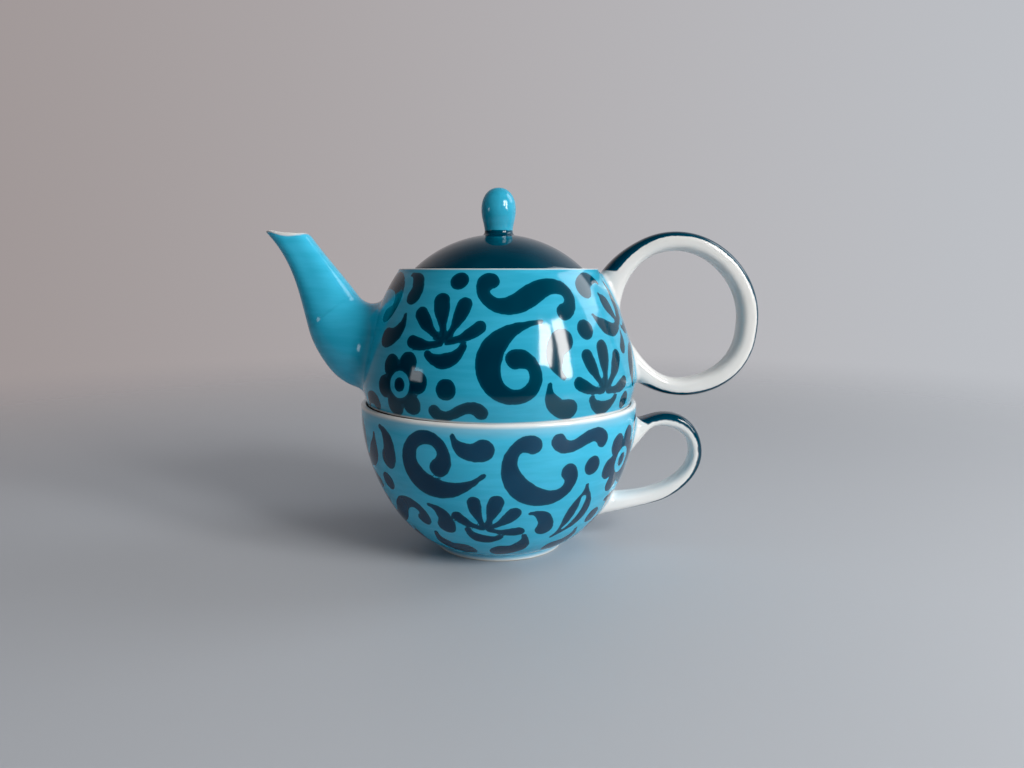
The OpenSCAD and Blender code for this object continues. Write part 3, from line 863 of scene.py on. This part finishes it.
q = np.linspace(0, 2 * math.pi, HANDLE_AROUND, endpoint=False)
ring = handle(
    "pot_handle", (ring_lines(np.linspace(0, 180, 500), q), ring_lines(np.linspace(0, -157, 500), q)),
    pot_surface, reach=(3.2, 3.6), between=(SEAT_Z + 0.8, RIM_Z - 1.3), rows=(100, 90), q=q,
    section=(RING_THICK, RING_WIDE, RING_POWER),
    spans=((0, 80), (0.08, 77), (0.13, 70), (0.19, 62), (0.24, 61), (0.3, 57), (0.39, 60), (0.44, 59),
           (0.48, 56), (0.52, 51), (0.71, 51), (0.76, 55), (0.81, 60), (0.86, 60), (1, 59)),
    tips=(1.2, 1, 7),
)

# The cup's ear

# Its middle line from the upper root to the lower one: distance out from the cup's side, and height
EAR_LINE = (
    ((-6.4, 46.2), (0.6, 47.3), (5.5, 52.8), (11.7, 52.8)),
    ((11.7, 52.8), (19.7, 52.8), (25.8, 46.5), (25.8, 38.5)),
    ((25.8, 38.5), (25.8, 29.9), (17.2, 23.1), (9.2, 20.5)),
    ((9.2, 20.5), (-0.4, 17.5), (-13, 16.6), (-24, 16.2)),
)
ear_curves = [[(CUP_R + out, z) for out, z in points] for points in EAR_LINE]


def ear_lines(u, q):
    """Lines along the ear, from its upper root at u 0 to its lower root at u 4."""
    i = np.minimum(3, np.floor(u)).astype(int)
    middle = np.vstack([bez(ear_curves[k], v - k) for k, v in zip(i, u)])
    d = np.vstack([bez_dir(ear_curves[k], v - k) for k, v in zip(i, u)])
    side = np.stack([-d[:, 1], d[:, 0]], 1)
    half = EAR_THICK / 2 + 0.6 * fade(u, 2.2, 3)
    half = half + 6 * np.maximum(0, 1 - u)**2.9 + 4.4 * np.maximum(0, u - 3)**3
    under = half + 1.8 * np.maximum(0, 1 - u)**3.2 - 0.5 * bump(u, 0.68, 0.22) + 0.5 * bump(u, 1.15, 0.35)
    over = half + 0.7 * bump(u, 1.35, 0.35)
    width = EAR_WIDE + 5 * (1 - fade(u, 0.1, 1) + fade(u, 3, 3.9))
    return tube_section(middle + over[:, None] * side, middle - under[:, None] * side, width, q, EAR_POWER)


ear = handle(
    "cup_ear", (ear_lines(np.linspace(1.6, 0, 400), q), ear_lines(np.linspace(1.6, 4, 600), q)),
    Surface(bowl_rows), reach=(3.8, 3.6), between=(FOOT_H + 0.8, CUP_H - 3.2), rows=(60, 90), q=q,
    section=(EAR_THICK, EAR_WIDE, EAR_POWER),
    spans=((0, 76), (0.06, 82), (0.13, 86), (0.24, 84), (0.3, 82), (0.37, 80), (0.48, 85), (0.56, 76),
           (0.6, 69), (0.7, 52), (0.8, 43), (1, 40)),
    tips=(0.8, 2, 16),
)

# The lid

LID_GLAZE_UP = 0.6
KNOB_BLUE_Z = 130.3


def dome_z(r, sink=0.0):
    """Height of the dome at a radius from its axis, or of a dome inside it by a wall."""
    return DOME_TOP - DOME_SPHERE + np.sqrt((DOME_SPHERE - sink)**2 - np.asarray(r)**2)


knob_curves = [
    [(7.4, float(dome_z(7.4)) - 0.05), (6.4, DOME_TOP - 0.45), (NECK_R, DOME_TOP), (NECK_R, DOME_TOP + 1.1)],
    [(NECK_R, DOME_TOP + 1.1), (NECK_R, DOME_TOP + 3.5), (KNOB_R, DOME_TOP + 6.1), (KNOB_R, DOME_TOP + 9.7)],
    [(KNOB_R, DOME_TOP + 9.7), (KNOB_R, DOME_TOP + 14.5), (4.6, DOME_TOP + KNOB_H), (0, DOME_TOP + KNOB_H)],
]
neck, *rest_of_knob = [curve(p) for p in knob_curves]
knob = respaced(np.vstack([neck, *(points[1:] for points in rest_of_knob)]), KNOB_STEP)
knob[-1] = (0, DOME_TOP + KNOB_H)
r = np.linspace(LID_R - 0.3, 8, 60)
dome = respaced(np.stack([r, dome_z(r)], 1), DOME_STEP)
r = np.linspace(0, SKIRT_R - SKIRT_W, 40)
under = respaced(np.stack([r, dome_z(r, DOME_WALL)], 1), LID_INSIDE_STEP)
under[0, 0] = 0
lid_rows = outline(
    under, (SKIRT_R - SKIRT_W, SKIRT_Z, 0.6), (SKIRT_R, SKIRT_Z, 0.6), (SKIRT_R, LEDGE_Z, 0.3),
    (LID_R, LEDGE_Z, 0.4), (LID_R, RIM_Z - 0.5, 0.35), dome, knob,
)
lid_s = along(lid_rows)
lid_edge = reached(lid_rows, lid_s, LID_R, LEDGE_Z + 0.4) + LID_GLAZE_UP
lid = turned(
    "pot_lid", lid_rows, np.where(lid_s > lid_edge, lid_rows[:, 1] - KNOB_BLUE_Z, -FAR),
    bare=lid_s - lid_edge,
    clay=np.full(len(lid_rows), FAR),
)
pierce(lid, [((-VENT_OUT, 0, SKIRT_Z), (-VENT_OUT, 0, DOME_TOP + 6), VENT_D)])


# Shader nodes

class Graph:
    """Adds nodes to the node tree of a material or of the world and joins them."""

    def __init__(self, owner):
        owner.use_nodes = True
        self.nodes, self.links = owner.node_tree.nodes, owner.node_tree.links

    def put(self, socket, value):
        """Sets a socket to a constant, or joins it to another node's output."""
        if isinstance(value, bpy.types.NodeSocket):
            self.links.new(value, socket)
        else:
            socket.default_value = value

    def node(self, kind, **settings):
        node = self.nodes.new("ShaderNode" + kind)
        for key, setting in settings.items():
            setattr(node, key, setting)
        return node

    def coordinates(self, kind):
        return self.node("TexCoord").outputs[kind]

    def mark(self, name):
        """What a mesh carries at its points under a name."""
        return self.node("Attribute", attribute_name=name).outputs["Fac"]

    def ramp(self, value, low, high, start=0, end=1, smooth=True):
        """Runs from start to end while a value runs from low to high."""
        node = self.node("MapRange", interpolation_type="SMOOTHSTEP" if smooth else "LINEAR")
        for key, number in (("From Min", low), ("From Max", high), ("To Min", start), ("To Max", end)):
            node.inputs[key].default_value = number
        self.put(node.inputs["Value"], value)
        return node.outputs["Result"]

    def maths(self, operation, a, b):
        node = self.node("Math", operation=operation)
        self.put(node.inputs[0], a)
        self.put(node.inputs[1], b)
        return node.outputs[0]

    def mix(self, factor, a, b):
        node = self.node("Mix", data_type="RGBA")
        for key, value in (("Factor", factor), ("A", a), ("B", b)):
            self.put(node.inputs[key], value)
        return node.outputs["Result"]

    def noise(self, seed, scale, detail=2.0, stretch=1.0):
        place = self.node("Mapping")
        place.inputs["Scale"].default_value = (1, 1, stretch)
        place.inputs["Location"].default_value = (seed, 0.37 * seed, 0)
        self.put(place.inputs["Vector"], self.coordinates("Object"))
        node = self.node("TexNoise")
        node.inputs["Scale"].default_value = scale
        node.inputs["Detail"].default_value = detail
        self.put(node.inputs["Vector"], place.outputs[0])
        return node.outputs["Fac"]


def linear(*colour):
    """A colour given as 0 to 255, for a shader."""
    return tuple(((c / 255 + 0.055) / 1.055)**2.4 for c in colour) + (1,)


def times(colour, factor):
    """A linear colour made lighter or darker, for a shader."""
    return tuple(min(0.85, c * factor) for c in colour) + (1,)


# Glaze

BLUE_THICK = (0.032, 0.360, 0.540)
BLUE_THIN = (0.044, 0.405, 0.600)
DEEP_EDGE = (0.005, 0.085, 0.145, 1)
WHITE_GREY = (0.74, 0.745, 0.73)
WHITE_PALE = (0.80, 0.80, 0.79)
FOOT_CLAY = (0.62, 0.57, 0.49, 1)
# Bare clay at the teapot's seat, darkened almost to black as a painted shadow in the gap over the cup's lip
SEAT_CLAY_AND_SHADE = (0.07, 0.042, 0.034, 1)
POT_TONE = 1.03
GLAZE_ROUGHNESS = 0.09
CLAY_ROUGHNESS = 0.75


def glaze(piece, soft, tone=1.0, white_tone=1.0, clay_and_shade_colour=FOOT_CLAY, root_tone=None, deep_blue=1.0,
          milky=False, striped=False):
    """Glossy ceramic glaze: painted colours over white, told apart by the marks on the mesh.
    Soft is half the width in mm over which the blue ends in the white."""
    material = bpy.data.materials.new(piece.name + "_glaze")
    graph = Graph(material)
    seed = len(piece.name) * 0.7
    streaks = graph.noise(seed, 55, 3.0, 7)
    clouds = graph.noise(seed, 38)
    wobble = graph.noise(seed, 420, 1.0)
    bare = graph.mark("bare")
    shake = graph.maths("MULTIPLY", graph.maths("SUBTRACT", wobble, 0.5), 0.5)
    ink = graph.maths("ADD", graph.mark("ink"), shake)
    thin_glaze = graph.maths("ADD", streaks, graph.maths("MULTIPLY", clouds, 0.6))
    thinness = graph.ramp(thin_glaze, 0.62, 0.98)

    # A tone above 1 lightens the blue; on the cup and the spout this is painted light, standing in for light
    # falling on them
    blue = graph.mix(thinness, times(BLUE_THICK, tone), times(BLUE_THIN, tone))
    # The spout's painted light fades back to the teapot's tone at its root, so the two meet without a seam
    if root_tone:
        root_blue = graph.mix(thinness, times(BLUE_THICK, root_tone), times(BLUE_THIN, root_tone))
        blue = graph.mix(graph.ramp(graph.mark("root"), -4, 12), root_blue, blue)
    if milky:
        blue = graph.mix(graph.ramp(bare, 0, 5, 0.22, 0), blue, WHITE_GREY + (1,))
    deep_thick = (0.0012, 0.034, 0.060 * deep_blue, 1)
    deep_thin = (0.0025, 0.048, 0.080 * deep_blue, 1)
    deep = graph.mix(graph.ramp(clouds, 0.35, 0.65), deep_thick, deep_thin)
    deep = graph.mix(graph.ramp(ink, -1.3, -0.1, 0, 0.45), deep, DEEP_EDGE)
    grey, pale = times(WHITE_GREY, white_tone), times(WHITE_PALE, white_tone)
    white = graph.mix(graph.ramp(clouds, 0.3, 0.7), grey, pale)

    paint = graph.mix(graph.ramp(ink, -0.16, 0.16), deep, blue)
    if striped:
        white = graph.mix(graph.ramp(ink, -0.2, 0.2), deep, white)
    paint = graph.mix(graph.ramp(bare, -soft, soft), white, paint)
    # Bare clay; at the teapot's seat its dark colour is also a painted shadow of the gap
    clay = graph.mark("clay")
    paint = graph.mix(graph.ramp(clay, -0.12, 0.12), clay_and_shade_colour, paint)

    ripple = graph.node("Bump")
    ripple.inputs["Strength"].default_value = 0.16
    ripple.inputs["Distance"].default_value = 0.0006
    graph.put(ripple.inputs["Height"], graph.noise(seed, 95, 1.0))
    shader = graph.nodes["Principled BSDF"]
    shader.inputs["IOR"].default_value = 1.5
    graph.put(shader.inputs["Base Color"], paint)
    graph.put(shader.inputs["Roughness"], graph.ramp(clay, -0.12, 0.12, CLAY_ROUGHNESS, GLAZE_ROUGHNESS))
    graph.put(shader.inputs["Normal"], ripple.outputs["Normal"])
    return material


for piece, node, slot_name, look in (
    # The cup's blue is lighter than the teapot's same glaze as painted light
    (cup, "cup", "cup_glaze", dict(soft=0.9, tone=1.25, white_tone=1.05, deep_blue=1.3, milky=True)),
    (ear, "cup_handle", "handle_glaze", dict(soft=2.0, tone=1.1, white_tone=1.04, striped=True)),
    (pot, "teapot", "pot_glaze", dict(soft=0.4, tone=POT_TONE, clay_and_shade_colour=SEAT_CLAY_AND_SHADE)),
    # The spout's blue is lighter than the teapot's same glaze as painted light, and fades to the teapot's at
    # the root
    (spout, "spout", "spout_glaze", dict(soft=0.5, tone=1.25, root_tone=POT_TONE)),
    (ring, "ring_handle", "handle_glaze", dict(soft=2.0, tone=POT_TONE, white_tone=0.95, striped=True)),
    (lid, "lid", "lid_glaze", dict(soft=0.3)),
):
    piece.data.materials.clear()
    piece.data.materials.append(glaze(piece, **look))
    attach(piece, "root")
    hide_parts(node)
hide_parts("pot_base")


# The floor

FLOOR_RADIUS = 0.8
FLOOR_FADES_FROM = 0.17
FLOOR_SIDES = 96


def round_floor(name, colour):
    """A plain round floor whose outer part fades into the backdrop."""
    m = FLOOR_SIDES
    points, faces = [(0, 0, 0)], []
    for ring, radius in enumerate((0.15, 0.3, 0.5, FLOOR_RADIUS)):
        for k in range(m):
            a = 2 * math.pi * k / m
            points.append((radius * math.cos(a), radius * math.sin(a), 0))
            here, beside = 1 + ring * m + k, 1 + ring * m + (k + 1) % m
            faces.append((here - m, here, beside, beside - m) if ring else (0, here, beside))
    mesh = bpy.data.meshes.new(name)
    mesh.from_pydata(points, [], faces)
    material = bpy.data.materials.new(name)
    graph = Graph(material)
    shader = graph.nodes["Principled BSDF"]
    shader.inputs["Base Color"].default_value = colour
    shader.inputs["Roughness"].default_value = 0.55
    distance = graph.node("VectorMath", operation="LENGTH")
    graph.put(distance.inputs[0], graph.coordinates("Object"))
    mixed = graph.node("MixShader")
    graph.put(mixed.inputs[0], graph.ramp(distance.outputs["Value"], FLOOR_FADES_FROM, FLOOR_RADIUS))
    graph.put(mixed.inputs[1], shader.outputs[0])
    graph.put(mixed.inputs[2], graph.node("BsdfTransparent").outputs[0])
    graph.put(graph.nodes["Material Output"].inputs["Surface"], mixed.outputs[0])
    mesh.materials.append(material)
    return link(bpy.data.objects.new(name, mesh))


floor = round_floor("floor", linear(184, 188, 194))


# Lights

DAYLIGHT = (1, 0.985, 0.96)
LIT_POINT = Vector((0, 0, 0.08))


def softbox(name, azimuth, elevation, distance, size, watts, colour=(1, 1, 1), roll=0, mirrored=True):
    """A soft area light that faces the set, at an angle to the right of the front and above the table."""
    a, e = math.radians(azimuth), math.radians(elevation)
    away = Vector((math.sin(a) * math.cos(e), -math.cos(a) * math.cos(e), math.sin(e)))
    data = bpy.data.lights.new(name, "AREA")
    data.shape = "RECTANGLE"
    data.size, data.size_y = size
    data.energy = watts
    data.color = colour
    lamp = link(bpy.data.objects.new(name, data))
    lamp.location = LIT_POINT + distance * away
    lamp.rotation_mode = "QUATERNION"
    rolled = Quaternion((0, 0, 1), math.radians(roll))
    lamp.rotation_quaternion = (LIT_POINT - lamp.location).to_track_quat("-Z", "Y") @ rolled
    lamp.visible_camera = False
    lamp.visible_glossy = mirrored


softbox("window_left", 41.7, 26, 0.95, (0.165, 0.33), 3.5, DAYLIGHT, roll=-18)
softbox("window_right", 56.6, 20.5, 0.95, (0.155, 0.47), 4.3, DAYLIGHT, roll=-6)
softbox("window_side", 106, 36, 1.2, (0.5, 0.6), 3.0, (0.9, 0.96, 1))
softbox("fill", -67.5, 7, 1.0, (0.2, 0.15), 0.3, (0.95, 0.97, 1))
softbox("ceiling", 40, 52, 1.4, (1.3, 1.1), 3.4, mirrored=False)
softbox("room", 12, 6, 1.2, (1.1, 0.8), 1.3, mirrored=False)
softbox("rear", -150, 14, 1.2, (0.8, 0.5), 1.3, mirrored=False)


# The studio's walls

WARM_SIDE = (1.1, 0.93, 0.9, 1)
COOL_SIDE = (0.94, 0.97, 1.03, 1)


def studio_walls():
    """A world that is brighter to the right and behind the set, and darker high up and at the far left."""
    world = bpy.data.worlds.new("studio")
    graph = Graph(world)
    parts = graph.node("SeparateXYZ")
    graph.put(parts.inputs[0], graph.coordinates("Generated"))
    x, y, z = parts.outputs
    strength = graph.ramp(x, -0.9, 0.9, 0.27, 0.62, smooth=False)
    behind = graph.ramp(y, -0.6, 0.5, 0.1, 1)
    high = graph.ramp(z, 0.45, 0.95, 1, 0.25)
    far_left = graph.ramp(x, -0.95, -0.58, 0.55, 1, smooth=False)
    for shade in (behind, high, far_left):
        strength = graph.maths("MULTIPLY", strength, shade)
    background = graph.nodes["Background"]
    tint = graph.mix(graph.ramp(x, -0.9, 0.5, smooth=False), WARM_SIDE, COOL_SIDE)
    graph.put(background.inputs["Color"], tint)
    graph.put(background.inputs["Strength"], strength)
    return world


bpy.context.scene.world = studio_walls()

# The view and the camera

BLACK_LEVEL = 0.008
SENSOR_MM = 36
PICTURE_WIDTH_PX = 1024
FOCAL_PX = 790
MIDDLE_UNDER_HORIZON_PX = 115.5
CAMERA_PLACE = (0.0054, -0.3265, 0.1151)

view = bpy.context.scene.view_settings
view.view_transform = "Standard"
view.use_curve_mapping = True
view.curve_mapping.black_level = (BLACK_LEVEL, BLACK_LEVEL, BLACK_LEVEL)
view.curve_mapping.update()

camera_data = bpy.data.cameras.new("camera")
camera_data.sensor_width = SENSOR_MM
camera_data.lens = SENSOR_MM * FOCAL_PX / PICTURE_WIDTH_PX
camera = link(bpy.data.objects.new("camera", camera_data))
camera.location = CAMERA_PLACE
camera.rotation_euler = (math.pi / 2 - math.atan(MIDDLE_UNDER_HORIZON_PX / FOCAL_PX), 0, 0)
bpy.context.scene.camera = camera
